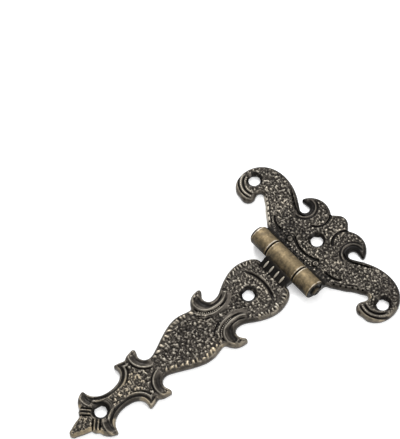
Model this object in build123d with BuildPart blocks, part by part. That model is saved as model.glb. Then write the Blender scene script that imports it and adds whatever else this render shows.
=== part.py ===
import os
from math import cos, radians, sin

from build123d import *

# Ornamental tee hinge, 6 inch, lying open and flat with its ornament up.
# Origin: back (mounting) plane, centre of the middle screw hole of the frame leaf.
# X runs along the pin, +Y towards the crest, -Y along the strap, +Z out of the ornament.

# Overall size
LENGTH = 152.4
WIDTH = 95.3
CREST_Y = 16.8
TIP_Y = CREST_Y - LENGTH

# Plates
PLATE = 2.6
BEVEL_WIDTH = 0.8
BEVEL_DROP = 1.2

# Screw holes, countersunk, with the edge broken at the back
HOLE_R = 2.65
HOLE_MOUTH_R = 3.85
HOLE_BACK = 0.4
FRAME_HOLES_X = (-41.4, 0, 41.4)
STRAP_HOLES_Y = (-39.2, -119.6)

# Barrel and pin
BARREL_R = 4.5
BARREL_HALF = 18.3
MIDDLE_HALF = 8.3
KNUCKLE_GAP = 0.4
KNUCKLE_CHAMFER = 0.4
PIN_Y = -17.7
PIN_Z = BARREL_R
PIN_R = 2.1
BORE_PLAY = 0.07
PIN_HEAD_R = 3.9
PIN_HEAD_THICK = 0.8
PIN_END_OUT = 1.4
PIN_EDGE = 0.3
PIN_DIMPLE_R = 1.1
PIN_DIMPLE_FLOOR_R = 0.4
PIN_DIMPLE_DEPTH = 0.5
OUTER_LENGTH = BARREL_HALF - MIDDLE_HALF - KNUCKLE_GAP
WEB_CREASE = 25
LEAF_EDGE_Y = PIN_Y + BARREL_R + 0.5
WEB_END_Y = LEAF_EDGE_Y + 2.5

# Neck of the strap: a ramp from the plate up to the barrel, with four raised ribs
NECK_HALF = 7.6
SHOULDER_Y = -24.6
NECK_FOOT_Y = -26.6
RAMP_TOP = 168
RAMP_MIDDLE = (-24.4, 4.2)
RIB_X = (-5.0, -1.65, 1.65, 5.0)
RIB_WIDTH = 0.9
RIB_HEIGHT = 0.5

# Round throats of the scrolls: centre and radius
FRAME_THROAT = (15.6, 6.95)
FRAME_THROAT_R = 2.15
HORN_THROAT = (11.25, -51.9)
HORN_THROAT_R = 3.05
LOW_THROAT = (8.7, -89.3)
LOW_THROAT_R = 3.35

# Chased lines in the top of one half: centre and radius of the arc, and its two ends in degrees
LINE_WIDTH = 1.0
LINE_DEPTH = 0.5
OVER = 0.2
HOOK_SCROLL = (39.2, 0.2)
FRAME_LINES = (
    (FRAME_THROAT, 4.05, 62, 290),
    (FRAME_THROAT, 5.75, 85, 285),
    ((9.6, 8.5), 6.05, 134, 240),
    ((0, 5.63), 14.0, 237, 303),
    ((15.45, 0.96), 8.7, 254, 314),
    (HOOK_SCROLL, 6.6, 240, 325),
    (HOOK_SCROLL, 8.65, 240, 350),
)
HEAD_LINE = ((0, -46.7), 16.2, 53, 127)
HEAD_LINE_WIDTH = 1.5
STRAP_LINES = (
    (HORN_THROAT, 6.1, 135, 190),
    (HORN_THROAT, 7.8, 128, 205),
    ((11.8, -53.2), 5.75, 205, 282),
    ((9.4, -90.6), 5.6, 185, 290),
    ((14.3, -110.6), 11.0, 142, 212),
)
# Wide hollows in the horns and fins, the same way
HOLLOW_WIDTH = 1.5
HOLLOW_DEPTH = 0.75
HOLLOWS = ((HORN_THROAT, 4.8, 215, 305), (LOW_THROAT, 4.9, 235, 300), ((8.4, -116.0), 5.4, 262, 288))

os.makedirs("parts", exist_ok=True)


def at_angle(centre, radius, angle):
    """Point on a circle, with the angle in degrees from the first axis."""
    return (centre[0] + radius * cos(radians(angle)), centre[1] + radius * sin(radians(angle)))


def on_barrel(angle):
    """Point on the barrel in a section across the pin."""
    return at_angle((PIN_Y, PIN_Z), BARREL_R, angle)


def is_back_hole(edge):
    """Whether an edge is the rim of a screw hole at the back of a leaf."""
    return edge.geom_type == GeomType.CIRCLE and edge.radius == HOLE_R and edge.center().Z < PLATE / 4


def smooth(start, points, end):
    """Pairs of tangent arcs from one curve to the next along a smooth line through the points."""
    ends = (start % 1, end % 0)
    line = Spline(start @ 1, *points, end @ 0, tangents=ends, tangent_scalars=(1, 1), mode=Mode.PRIVATE)
    places = [0, *[line.param_at_point(point) for point in points[1::2]], 1]
    for here, there in zip(places, places[1:]):
        a, b, a_way, b_way = line @ here, line @ there, line % here, line % there
        reach = b - a
        turn = 2 * (1 - a_way.dot(b_way))
        along = reach.dot(a_way + b_way)
        if turn > 1e-9:
            step = ((along**2 + turn * reach.dot(reach)) ** 0.5 - along) / turn
        else:
            step = reach.dot(reach) / (2 * along)
        joint = (a + a_way * step + b - b_way * step) / 2
        first = TangentArc(a, joint, tangent=a_way)
        TangentArc(joint, b, tangent=first % 1)


def carve(centre, radius, start, end, width=LINE_WIDTH, depth=LINE_DEPTH):
    """V groove along an arc in the top of both halves of the leaf in hand."""
    reach = width / 2 * (1 + OVER / depth)
    for side in (1, -1) if centre[0] else (1,):
        across = (side * cos(radians(start)), sin(radians(start)))
        middle = (side * centre[0], centre[1], PLATE)
        with BuildSketch(Plane(middle, x_dir=(*across, 0), z_dir=(across[1], -across[0], 0))) as section:
            with BuildLine():
                Polyline((radius - reach, OVER), (radius + reach, OVER), (radius, -depth), close=True)
            make_face()
        turn = Axis(middle, (0, 0, side))
        revolve(section.sketch, axis=turn, revolution_arc=end - start, mode=Mode.SUBTRACT)


# Plan of the frame leaf: crest, horn, arm, hook and foot of one half, mirrored
with BuildSketch() as frame_plan:
    with BuildLine():
        crest = CenterArc((0, CREST_Y - 4.4), 4.4, 90, -47)
        notch = CenterArc((5.5, 14.3), 0.8, 225, 80)
        horn_tip = CenterArc((18.85, 9.55), 0.9, 20, -125)
        throat = CenterArc(FRAME_THROAT, FRAME_THROAT_R, 80, 220)
        hook_nose = CenterArc((37.3, -7.2), 3.2, -75, -105)
        bay = CenterArc((33.7, -3.35), 1.65, -10, 140)
        foot = CenterArc((BARREL_HALF + 1.6, LEAF_EDGE_Y), 1.6, 110, 70)
        smooth(crest, [], notch)
        smooth(notch, [(8.2, 14.8), (11.8, 15.4), (15.6, 14.4), (18.3, 12.2)], horn_tip)
        smooth(horn_tip, [], throat)
        arm = [(20, 7.1), (23.5, 9.05), (28, 10.7), (33, 11.45), (38, 11.0), (42.5, 9.0)]
        hook = [(45.8, 5.6), (WIDTH / 2, 0), (46.7, -5.4), (43.6, -9.1), (41.0, -10.1)]
        smooth(throat, arm + hook, hook_nose)
        smooth(hook_nose, [], bay)
        smooth(bay, [(29.5, -3.75), (27.2, -5.85), (25, -7.6), (22.2, -9.45)], foot)
        Line(foot @ 1, (0, LEAF_EDGE_Y))
        mirror(about=Plane.YZ)
    make_face()

# Plan of the strap, one half mirrored: neck, head, upper horn, leaf, lower horn, spike, fin, collar and bud
with BuildSketch() as strap_plan:
    with BuildLine():
        neck_top = PIN_Y - BARREL_R + 1
        neck = Polyline((0, neck_top), (NECK_HALF, neck_top), (NECK_HALF, SHOULDER_Y + 0.8))
        shoulder = CenterArc((NECK_HALF + 0.8, SHOULDER_Y + 0.8), 0.8, 180, 90)
        upper_throat = CenterArc(HORN_THROAT, HORN_THROAT_R, 180, 125)
        upper_tip = CenterArc((15.2, -54.2), 1.15, 115, -115)
        upper_notch = CenterArc((12.4, -62.65), 1.3, 120, 70)
        lower_throat = CenterArc(LOW_THROAT, LOW_THROAT_R, 180, 120)
        lower_tip = CenterArc((12.0, -92.9), 1.2, 110, -120)
        lower_notch = CenterArc((12.6, -98.3), 1.1, 140, 60)
        spike_tip = CenterArc((11.75, -102.45), 0.85, 10, -120)
        fin_tip = CenterArc((11.3, -120.45), 0.9, 80, -100)
        collar_notch = CenterArc((7.5, -126.3), 0.9, 95, 55)
        collar = CenterArc((5.2, -126.2), 1.0, -30, -39)
        bud_notch = CenterArc((4.75, -128.4), 0.9, 111, 54)
        bud = CenterArc((0, TIP_Y + 1.9), 1.9, -8, -82)
        brow = [(11.0, -25.3), (13.0, -28.1), (14.35, -32.2), (14.5, -35.2)]
        cheek = [(13.9, -38.9), (12.0, -43.4), (9.6, -47.8)]
        smooth(shoulder, brow + cheek, upper_throat)
        smooth(upper_throat, [], upper_tip)
        smooth(upper_tip, [(16.1, -57.2), (14.4, -59.7)], upper_notch)
        leaf = [(12.0, -66.2), (12.4, -69.3), (11.9, -73.5), (10.1, -78.2), (7.9, -82.8), (6.2, -86.2)]
        smooth(upper_notch, leaf, lower_throat)
        smooth(lower_throat, [], lower_tip)
        smooth(lower_tip, [(12.95, -95.3)], lower_notch)
        smooth(lower_notch, [(12.15, -100.3)], spike_tip)
        upper_bay = [(9.3, -102.95), (7.2, -103.9), (5.7, -106.1), (4.8, -110.3)]
        lower_bay = [(5.35, -114.2), (7.2, -117.5), (9.4, -119.0)]
        smooth(spike_tip, upper_bay + lower_bay, fin_tip)
        smooth(fin_tip, [(11.2, -123.1), (9.2, -124.7)], collar_notch)
        smooth(collar_notch, [], collar)
        smooth(collar, [], bud_notch)
        smooth(bud_notch, [(3.1, -130.5), (2.5, -132.4)], bud)
        mirror(about=Plane.YZ)
    make_face()

# Section of an outer knuckle across the pin: barrel, flat back, and the ramp down to the frame plate
pin_axis = Axis((0, PIN_Y, PIN_Z), (1, 0, 0))
crease = at_angle((0, 0), 1, WEB_CREASE)
web_crease = Plane((0, PIN_Y, PIN_Z), x_dir=(1, 0, 0), z_dir=(0, -crease[1], crease[0]))
with BuildSketch(Plane.YZ) as outer_section:
    with BuildLine():
        back = Line((WEB_END_Y, 0), (PIN_Y, 0))
        barrel = ThreePointArc(back @ 1, on_barrel(170), on_barrel(WEB_CREASE))
        ramp = TangentArc(barrel @ 1, (WEB_END_Y, PLATE), tangent=(0, -1))
        Line(ramp @ 1, back @ 0)
    make_face()

# Section of the neck, the same way: barrel, flat back, and the ramp down to the strap plate
with BuildSketch(Plane.YZ) as neck_section:
    with BuildLine():
        back = Line((NECK_FOOT_Y, 0), (PIN_Y, 0))
        barrel = ThreePointArc(back @ 1, on_barrel(10), on_barrel(RAMP_TOP))
        ramp = ThreePointArc(barrel @ 1, RAMP_MIDDLE, (NECK_FOOT_Y, PLATE))
        Line(ramp @ 1, back @ 0)
    make_face()

# Section of one rib on that ramp: it leaves the barrel, stands over the ramp and runs out on the plate
with BuildSketch(Plane.YZ) as rib_section:
    with BuildLine():
        rib_middle = (RAMP_MIDDLE[0], RAMP_MIDDLE[1] + RIB_HEIGHT)
        crest = ThreePointArc(on_barrel(RAMP_TOP - 12), rib_middle, (NECK_FOOT_Y - 1.2, PLATE))
        Polyline(crest @ 1, (NECK_FOOT_Y, PLATE / 2), (PIN_Y - BARREL_R, PLATE), crest @ 0)
    make_face()

with BuildPart() as frame_leaf:
    extrude(frame_plan.sketch, amount=PLATE)
    top = frame_leaf.faces().sort_by(Axis.Z)[-1]
    rim = top.edges().filter_by(lambda edge: edge.center().Y > LEAF_EDGE_Y + 0.1)
    chamfer(rim, BEVEL_WIDTH, BEVEL_DROP, reference=top)
    for start in (-BARREL_HALF, MIDDLE_HALF + KNUCKLE_GAP):
        with BuildSketch(Plane.YZ.offset(start)):
            add(outer_section.sketch_local)
        extrude(amount=OUTER_LENGTH)
        for end, way in ((start, 1), (start + OUTER_LENGTH, -1)):
            with BuildSketch(web_crease):
                with BuildLine():
                    Polyline(
                        (end, BARREL_R - KNUCKLE_CHAMFER),
                        (end + way * KNUCKLE_CHAMFER, BARREL_R),
                        (end + way * KNUCKLE_CHAMFER, BARREL_R + OVER),
                        (end - way * OVER, BARREL_R + OVER),
                        (end - way * OVER, BARREL_R - KNUCKLE_CHAMFER),
                        close=True,
                    )
                make_face()
            revolve(axis=pin_axis, revolution_arc=270 - WEB_CREASE, mode=Mode.SUBTRACT)
    for line in FRAME_LINES:
        carve(*line)
    with Locations(*[(x, 0, PLATE) for x in FRAME_HOLES_X]):
        CounterSinkHole(HOLE_R, HOLE_MOUTH_R, counter_sink_angle=90)
    chamfer(frame_leaf.edges().filter_by(is_back_hole), HOLE_BACK)
    with Locations(Location((0, PIN_Y, PIN_Z), (0, 90, 0))):
        Cylinder(PIN_R, 3 * BARREL_HALF, mode=Mode.SUBTRACT)

with BuildPart() as strap_leaf:
    extrude(strap_plan.sketch, amount=PLATE)
    top = strap_leaf.faces().sort_by(Axis.Z)[-1]
    rim = top.edges().filter_by(lambda edge: edge.center().Y < SHOULDER_Y + 0.5)
    chamfer(rim, BEVEL_WIDTH, BEVEL_DROP, reference=top)
    with BuildSketch(Plane.YZ):
        add(neck_section.sketch_local)
    extrude(amount=NECK_HALF, both=True)
    with Locations(Location((0, PIN_Y, PIN_Z), (0, 90, 0))):
        Cylinder(BARREL_R, 2 * MIDDLE_HALF)
    rings = strap_leaf.edges().filter_by(GeomType.CIRCLE).filter_by(lambda edge: edge.radius == BARREL_R)
    chamfer(rings.filter_by(lambda edge: abs(edge.center().X) > NECK_HALF + 0.1), KNUCKLE_CHAMFER)
    for x in RIB_X:
        with BuildSketch(Plane.YZ.offset(x)):
            add(rib_section.sketch_local)
        extrude(amount=RIB_WIDTH / 2, both=True)
    for line in STRAP_LINES:
        carve(*line)
    carve(*HEAD_LINE, HEAD_LINE_WIDTH, HOLLOW_DEPTH)
    for hollow in HOLLOWS:
        carve(*hollow, HOLLOW_WIDTH, HOLLOW_DEPTH)
    with Locations(*[(0, y, PLATE) for y in STRAP_HOLES_Y]):
        CounterSinkHole(HOLE_R, HOLE_MOUTH_R, counter_sink_angle=90)
    chamfer(strap_leaf.edges().filter_by(is_back_hole), HOLE_BACK)
    with Locations(Location((0, PIN_Y, PIN_Z), (0, 90, 0))):
        Cylinder(PIN_R + BORE_PLAY, 3 * MIDDLE_HALF, mode=Mode.SUBTRACT)

# Pin, turned along X: disc head outside the left knuckle, plain end standing out on the right
with BuildPart() as hinge_pin:
    with BuildSketch(Plane.XY.offset(PIN_Z)):
        with BuildLine():
            Polyline(
                (-BARREL_HALF - PIN_HEAD_THICK, PIN_Y),
                (-BARREL_HALF - PIN_HEAD_THICK, PIN_Y + PIN_HEAD_R - PIN_EDGE),
                (-BARREL_HALF - PIN_HEAD_THICK + PIN_EDGE, PIN_Y + PIN_HEAD_R),
                (-BARREL_HALF, PIN_Y + PIN_HEAD_R),
                (-BARREL_HALF, PIN_Y + PIN_R),
                (BARREL_HALF + PIN_END_OUT - PIN_EDGE, PIN_Y + PIN_R),
                (BARREL_HALF + PIN_END_OUT, PIN_Y + PIN_R - PIN_EDGE),
                (BARREL_HALF + PIN_END_OUT, PIN_Y + PIN_DIMPLE_R),
                (BARREL_HALF + PIN_END_OUT - PIN_DIMPLE_DEPTH, PIN_Y + PIN_DIMPLE_FLOOR_R),
                (BARREL_HALF + PIN_END_OUT - PIN_DIMPLE_DEPTH, PIN_Y),
                close=True,
            )
        make_face()
    revolve(axis=pin_axis)

for name, leaf in (("frame_leaf", frame_leaf), ("strap_leaf", strap_leaf), ("hinge_pin", hinge_pin)):
    leaf.part.label = name
    export_step(leaf.part, f"parts/{name}.step")
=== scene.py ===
import math

import bmesh
import bpy
import numpy as np
from bpy.props import FloatProperty, FloatVectorProperty, IntProperty, PointerProperty
from bpy.types import Operator, Panel, PropertyGroup
from mathutils import Matrix, Vector
from mathutils.geometry import delaunay_2d_cdt
from mathutils.kdtree import KDTree


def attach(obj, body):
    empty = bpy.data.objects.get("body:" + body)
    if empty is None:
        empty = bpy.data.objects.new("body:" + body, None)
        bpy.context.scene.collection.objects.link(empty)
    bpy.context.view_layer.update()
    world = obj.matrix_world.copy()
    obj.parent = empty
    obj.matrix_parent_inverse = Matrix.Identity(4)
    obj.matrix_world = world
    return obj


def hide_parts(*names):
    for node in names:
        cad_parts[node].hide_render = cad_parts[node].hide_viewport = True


bl_info = {
    "name": "Tee hinge dressing",
    "version": (1, 0, 0),
    "blender": (4, 5, 0),
    "location": "View3D > Sidebar > Hinge",
    "description": "Carves the two leaves of a cast tee hinge and finishes it in antique bronze",
    "category": "Object",
}

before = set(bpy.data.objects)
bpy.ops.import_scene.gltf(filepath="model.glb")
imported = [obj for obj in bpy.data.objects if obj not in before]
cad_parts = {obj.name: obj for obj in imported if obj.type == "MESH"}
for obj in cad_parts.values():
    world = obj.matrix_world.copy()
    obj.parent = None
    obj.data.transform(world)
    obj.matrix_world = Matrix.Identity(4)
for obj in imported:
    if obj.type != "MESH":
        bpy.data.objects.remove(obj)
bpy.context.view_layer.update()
MM = 0.001

# Places and sizes of the solids, in millimetres. The barrel lies on the plane of the flat back
PIN_Y = -17.7
PIN_Z = 4.5
BARREL_R = 4.5
BARREL_HALF = 18.3
MIDDLE_HALF = 8.3
KNUCKLE_GAP = 0.4
OUTER_START = MIDDLE_HALF + KNUCKLE_GAP
PIN_R = 2.1
RUNNING_GAP = 0.07
PLATE = 2.6
RIM_FOOT = 0.95
WEB_X = 8.45
WEB_FOOT_Y = -10.2
NECK_HALF = 7.61
NECK_FOOT_Y = -26.6
HOLE_R = 2.65
HOLE_BACK_R = 3.05
MOUTH_R = 3.85
FRAME_HOLES = ((-41.4, 0), (0, 0), (41.4, 0))
STRAP_HOLES = ((0, -39.2), (0, -119.6))

# Centres that the ornament turns about, on the right half
FRAME_HORN = (15.6, 6.95)
HOOK = (39.2, 0.2)
FOOT_RING = (8.3, -8.2)
STRAP_HORN = (11.25, -51.9)
FIN = (8.7, -89.3)
FOOT = (8.4, -116.0)
RIB_X = (-5.0, -1.65, 1.65, 5.0)
BEAD_GROOVE = ((3.6, -52.2), (4.0, -55.4), (5.3, -58.6), (7.8, -60.6))

# Lamps of the studio: name, place and size in metres, power in watts
LAMPS = (("key", (-0.50, 0.25, 0.55), 0.30, 5.0), ("side", (0.55, 0.10, 0.35), 0.30, 2.0),
         ("top", (0.0, 0.10, 0.80), 0.50, 2.0))
LAMP_AIM = (0, -0.05, 0)
WORLD_LIGHT = 0.3
WORLD_SEEN = 1.0
FLOOR_HALF = 2.0
FLOOR_Z = -0.0002

# The camera: angles in degrees, distance and target in millimetres
CAMERA_LENS = 125.916
CAMERA_TURN = (57.425, 59.956, -8.386)
CAMERA_DISTANCE = 676.9
CAMERA_TARGET = (-43.16, -30.29, 0)


# Settings


def length(name, description, millimetres, least=0.0):
    """A setting that holds a length."""
    return FloatProperty(name=name, description=description, default=millimetres * MM, min=least * MM,
                         unit="LENGTH")


def colour(name, description, values):
    """A setting that holds a colour."""
    return FloatVectorProperty(name=name, description=description, subtype="COLOR", size=3, default=values,
                               min=0, max=1)


class HingeCasting(PropertyGroup):
    """Sizes of the carved leaves."""

    lattice: length("Lattice", "Spacing of the carved surface's points", 0.185, 0.1)
    rim_width: length("Rim width", "How far the rounding of the rim reaches in", 1.5)
    grain_pitch: length("Grain pitch", "Spacing of the raised grains", 1.6, 0.5)
    grain_height: length("Grain height", "Height of a grain over its gaps", 0.72)
    groove_depth: length("Groove depth", "Depth of the chased lines", 0.7)
    seed: IntProperty(name="Seed", description="Changes how the grains fall", default=7)


class HingeBarrel(PropertyGroup):
    """Sizes of the rolled barrel and what repeats beside it."""

    segments: IntProperty(name="Segments", description="Sides of a turned shell", default=96, min=12)
    chamfer: length("Chamfer", "Chamfer at each knuckle end", 0.4)
    rib_length: length("Rib length", "Length of a rib on the neck", 4.0)
    rib_width: length("Rib width", "Width of a rib on the neck", 1.05)
    bead: length("Bead radius", "Radius of a bead in the rows", 0.42)


class HingeColours(PropertyGroup):
    """Colours of the antique bronze."""

    recess: colour("Recess", "Colour left in the hollows", (0.006, 0.0052, 0.0047))
    body: colour("Body", "Colour of the patina", (0.049, 0.0425, 0.0348))
    rubbed: colour("Rubbed", "Colour of the rubbed tops", (0.36, 0.327, 0.274))
    brass: colour("Brass", "Colour of the worn edges", (0.36, 0.29, 0.19))
    barrel: colour("Barrel", "Colour of the smooth barrel", (0.172, 0.128, 0.068))


# Shapes of lines and fields


def smoothstep(low, high, value):
    t = np.clip((value - low) / (high - low), 0, 1)
    return t * t * (3 - 2 * t)


def bump(u):
    """Rounded bump, one at u = 0 and nought from |u| = 1."""
    return np.clip(1 - u * u, 0, None) ** 2


def smooth_line(points, step=0.25):
    """Points along a smooth line through the given ones."""
    p = np.array([points[0], *points, points[-1]], float)
    line = []
    for a, b, c, d in zip(p, p[1:], p[2:], p[3:]):
        count = max(2, int(np.hypot(*(c - b)) / step))
        for t in np.arange(count) / count:
            line.append(0.5 * (2 * b + (c - a) * t + (2 * a - 5 * b + 4 * c - d) * t**2
                               + (3 * b - a - 3 * c + d) * t**3))
    return np.array(line + [p[-1]])


def arc_points(centre, radius, start, end, count=16):
    """Points on an arc, with the angles in degrees."""
    angles = np.radians(np.linspace(start, end, count))
    return [(centre[0] + radius * math.cos(a), centre[1] + radius * math.sin(a)) for a in angles]


class Relief:
    """Height and wear of the ornament over a leaf's points, with painted highlight and painted shade on its
    rims and across some of its parts. Both halves are alike, so lines use |x|.
    """

    def __init__(self, plan, grains, depth):
        self.x, self.y = plan.points.T
        self.side, self.edge, self.depth = np.abs(self.x), plan.edge, depth
        self.stipple = grains.at(grains.field, self.x, self.y)
        self.shine = grains.at(grains.shine, self.x, self.y)
        # Besides grooves and stains, the darkening field holds painted light and shade; the brass and gilding
        # fields also hold a painted highlight.
        self.line_height, self.stain, self.brassy, self.gilt_and_painted_highlight = np.zeros((4, len(self.x)))
        # Painted shade on the rounded rims, raised to a painted highlight in places by the ornament.
        self.rim = np.full(len(self.x), -0.15)
        self.grain = np.ones(len(self.x))

    def near(self, line, reach):
        """Distance to a line for the points near it, and how far along it they are, from 0 to 1."""
        low, high = line.min(0) - reach, line.max(0) + reach
        chosen = np.flatnonzero((self.side > low[0]) & (self.side < high[0])
                                & (self.y > low[1]) & (self.y < high[1]))
        px, py = self.side[chosen], self.y[chosen]
        best, place = np.full(len(chosen), 1e9), np.zeros(len(chosen))
        count = len(line) - 1
        for index, (a, b) in enumerate(zip(line, line[1:])):
            dx, dy = b - a
            length2 = dx * dx + dy * dy + 1e-12
            t = np.clip(((px - a[0]) * dx + (py - a[1]) * dy) / length2, 0, 1)
            distance = np.hypot(px - a[0] - t * dx, py - a[1] - t * dy)
            closer = distance < best
            best[closer] = distance[closer]
            place[closer] = (index + t[closer]) / count
        return chosen, best, place

    def stroke(self, points, width, height, fade=(0.12, 0.12), clear=0.0, shoulder=0.0):
        """A ridge along a smooth line, or a groove where the height is below nought."""
        line = smooth_line(points)
        chosen, distance, place = self.near(line, max(3 * width, clear) + 0.1)
        ends = smoothstep(0, fade[0] + 1e-6, place + 1e-3) * smoothstep(0, fade[1] + 1e-6, 1 - place + 1e-3)
        profile = bump(distance / width) * ends
        self.line_height[chosen] += height * profile - shoulder * bump(distance / (3 * width)) * ends
        self.stain[chosen] += min(0, height) * profile
        if clear:
            self.grain[chosen] *= 1 - ends * (1 - smoothstep(clear - 0.4, clear, distance))

    def ring(self, centre, radius, width, height, start=0, end=360, fade=14):
        """A ridge or groove along an arc, which fades over these degrees at its ends."""
        r, window = self.polar(centre, start, end, fade)
        profile = bump((r - radius) / width) * window
        self.line_height += height * profile
        self.stain += 0.7 * min(0, height) * profile

    def polar(self, centre, start, end, fade=14):
        """Distance of each point from a centre, and one between two angles, nought outside them."""
        dx, dy = self.side - centre[0], self.y - centre[1]
        if end - start >= 360:
            return np.hypot(dx, dy), np.ones(len(dx))
        angle = np.degrees(np.arctan2(dy, dx))
        off = np.abs((angle - (start + end) / 2 + 180) % 360 - 180)
        half = (end - start) / 2
        return np.hypot(dx, dy), 1 - smoothstep(half - fade, half, off)

    def clear_disc(self, centre, radius, start=0, end=360, soft=0.5):
        """No grain inside this radius."""
        r, window = self.polar(centre, start, end)
        self.grain *= 1 - window * (1 - smoothstep(radius, radius + soft, r))

    def window(self, x0, x1, y0, y1, soft=1.0):
        """One inside a rectangle of the mirrored half, and nought outside it."""
        return (smoothstep(x0 - soft, x0, self.side) * smoothstep(x1 + soft, x1, self.side)
                * smoothstep(y0 - soft, y0, self.y) * smoothstep(y1 + soft, y1, self.y))


class Grains:
    """Raised grains on a fine grid over a rectangle: their heights, and how bright each is rubbed."""

    STEP = 0.1

    def __init__(self, low, high, seed):
        self.low = np.array(low, float) - 1
        size = np.ceil((np.array(high) + 1 - self.low) / self.STEP).astype(int) + 1
        self.field = np.zeros((size[1], size[0]), np.float32)
        self.shine = np.full((size[1], size[0]), 0.5, np.float32)
        self.random = np.random.default_rng(seed)

    def stamp(self, x, y, angle, length, width, bend, height, shine):
        """One curved grain, which shows where it is higher than the grains under it."""
        reach = length + width + abs(bend) + 0.2
        i0, j0 = ((np.array((x, y)) - reach - self.low) / self.STEP).astype(int).clip(0)
        i1, j1 = ((np.array((x, y)) + reach - self.low) / self.STEP).astype(int) + 1
        part = self.field[j0:j1, i0:i1]
        gx = self.low[0] + (i0 + np.arange(part.shape[1])) * self.STEP - x
        gy = self.low[1] + (j0 + np.arange(part.shape[0])) * self.STEP - y
        gx, gy = np.meshgrid(gx, gy)
        u = gx * math.cos(angle) + gy * math.sin(angle)
        v = gy * math.cos(angle) - gx * math.sin(angle) - bend * ((u / length) ** 2 - 0.4)
        dome = height * np.sqrt(np.clip(1 - (u / length) ** 2 - (v / width) ** 2, 0, None))
        higher = dome > part
        part[higher] = dome[higher]
        self.shine[j0:j1, i0:i1][higher] = shine

    def erase(self, x, y, radius):
        """No grains round this place."""
        i0, j0 = ((np.array((x, y)) - radius - self.low) / self.STEP).astype(int).clip(0)
        self.field[j0:j0 + int(2 * radius / self.STEP), i0:i0 + int(2 * radius / self.STEP)] *= 0.25

    def scatter(self, pitch, long, bend, tall=(0.45, 1.0), lean=None, keep=None, spread=1.0):
        """Grains on a loose staggered grid. lean gives the direction of flow at a place."""
        rng = self.random
        high = self.low + np.array(self.field.shape[::-1]) * self.STEP
        row = 0
        y = self.low[1]
        while y < high[1]:
            x = self.low[0] + (row % 2) * pitch / 2
            while x < high[0]:
                cx, cy = np.array((x, y)) + rng.uniform(-0.42, 0.42, 2) * pitch
                angle = (lean(cx, cy) if lean else 0) + rng.uniform(-1, 1) * math.pi / 2 * spread
                length = pitch * rng.uniform(*long) * rng.choice((0.7, 1, 1.3))
                width = pitch * rng.uniform(0.26, 0.5)
                curl = pitch * bend * rng.uniform(-1, 1)
                height, shine = rng.uniform(*tall), rng.uniform(0, 1)
                if keep is None or keep(cx, cy):
                    self.stamp(cx, cy, angle, length, width, curl, height, shine)
                x += pitch
            y += pitch * 0.866
            row += 1

    def lobes(self, plan, window, pitch, inset, long, wide, slant, shine):
        """A row of uneven lobes beside the outline, inside a window of the right half and on the left."""
        rng = self.random
        for side in (1, -1):
            places = plan.beside(window, pitch, rng)
            for x, y, inward in places:
                self.erase(side * (x + inset * math.cos(inward)), y + inset * math.sin(inward), 1.1 * inset)
            for x, y, inward in places:
                depth = inset * rng.uniform(0.75, 1.2)
                cx, cy = x + depth * math.cos(inward), y + depth * math.sin(inward)
                angle = inward + math.radians(slant + rng.uniform(-35, 35))
                self.stamp(side * cx, cy, angle if side > 0 else math.pi - angle, rng.uniform(*long),
                           rng.uniform(*wide), 0.15 * rng.uniform(-1, 1), rng.uniform(0.7, 1.15),
                           shine * rng.uniform(0.6, 1.3))

    def at(self, values, x, y):
        """Values of a field at these points, between those of the grid."""
        i = (x - self.low[0]) / self.STEP
        j = (y - self.low[1]) / self.STEP
        i0 = np.clip(i.astype(int), 0, values.shape[1] - 2)
        j0 = np.clip(j.astype(int), 0, values.shape[0] - 2)
        fi, fj = i - i0, j - j0
        return ((values[j0, i0] * (1 - fi) + values[j0, i0 + 1] * fi) * (1 - fj)
                + (values[j0 + 1, i0] * (1 - fi) + values[j0 + 1, i0 + 1] * fi) * fj)


# Plan of a leaf


def back_loops(node):
    """Closed loops round the flat back of a leaf, in millimetres."""
    work = bmesh.new()
    work.from_mesh(node.data)
    bmesh.ops.remove_doubles(work, verts=work.verts, dist=1e-6)
    flat = {f for f in work.faces if max(v.co.z for v in f.verts) < 2e-6}
    following = {}
    for face in flat:
        for corner in face.loops:
            others = [f for f in corner.edge.link_faces if f is not face and f in flat]
            if not others:
                following[corner.vert] = corner.link_loop_next.vert
    loops = []
    while following:
        start, vert = following.popitem()
        loop = [start.co.xy / MM]
        while vert is not start:
            loop.append(vert.co.xy / MM)
            vert = following.pop(vert)
        loops.append(np.array(loop))
    work.free()
    return loops


def divided(loop, step):
    """The loop with its sides cut into short pieces."""
    points = []
    for a, b in zip(loop, np.roll(loop, -1, 0)):
        count = max(1, math.ceil(np.hypot(*(b - a)) / step))
        points.extend(a + (b - a) * t for t in np.arange(count) / count)
    return np.array(points)


def inside_rows(loops, pitch):
    """Points of a staggered lattice that lie inside the loops."""
    starts = np.concatenate(loops)
    ends = np.concatenate([np.roll(loop, -1, 0) for loop in loops])
    low, high = starts.min(0), starts.max(0)
    points = []
    for row, y in enumerate(np.arange(low[1] + 0.0371, high[1], pitch * 0.866)):
        crossed = (starts[:, 1] > y) != (ends[:, 1] > y)
        a, b = starts[crossed], ends[crossed]
        cuts = np.sort(a[:, 0] + (y - a[:, 1]) / (b[:, 1] - a[:, 1]) * (b[:, 0] - a[:, 0]))
        x = np.arange(low[0] + (row % 2) * pitch / 2, high[0], pitch)
        x = x[np.searchsorted(cuts, x) % 2 == 1]
        points.append(np.column_stack([x, np.full(len(x), y)]))
    return np.concatenate(points)


def inside(loops, points):
    """Which points lie inside the loops."""
    odd = np.zeros(len(points), bool)
    for loop in loops:
        for a, b in zip(loop, np.roll(loop, -1, 0)):
            if a[1] == b[1]:
                continue
            crossed = (a[1] > points[:, 1]) != (b[1] > points[:, 1])
            odd ^= crossed & (points[:, 0] < a[0] + (points[:, 1] - a[1]) / (b[1] - a[1]) * (b[0] - a[0]))
    return odd


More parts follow.
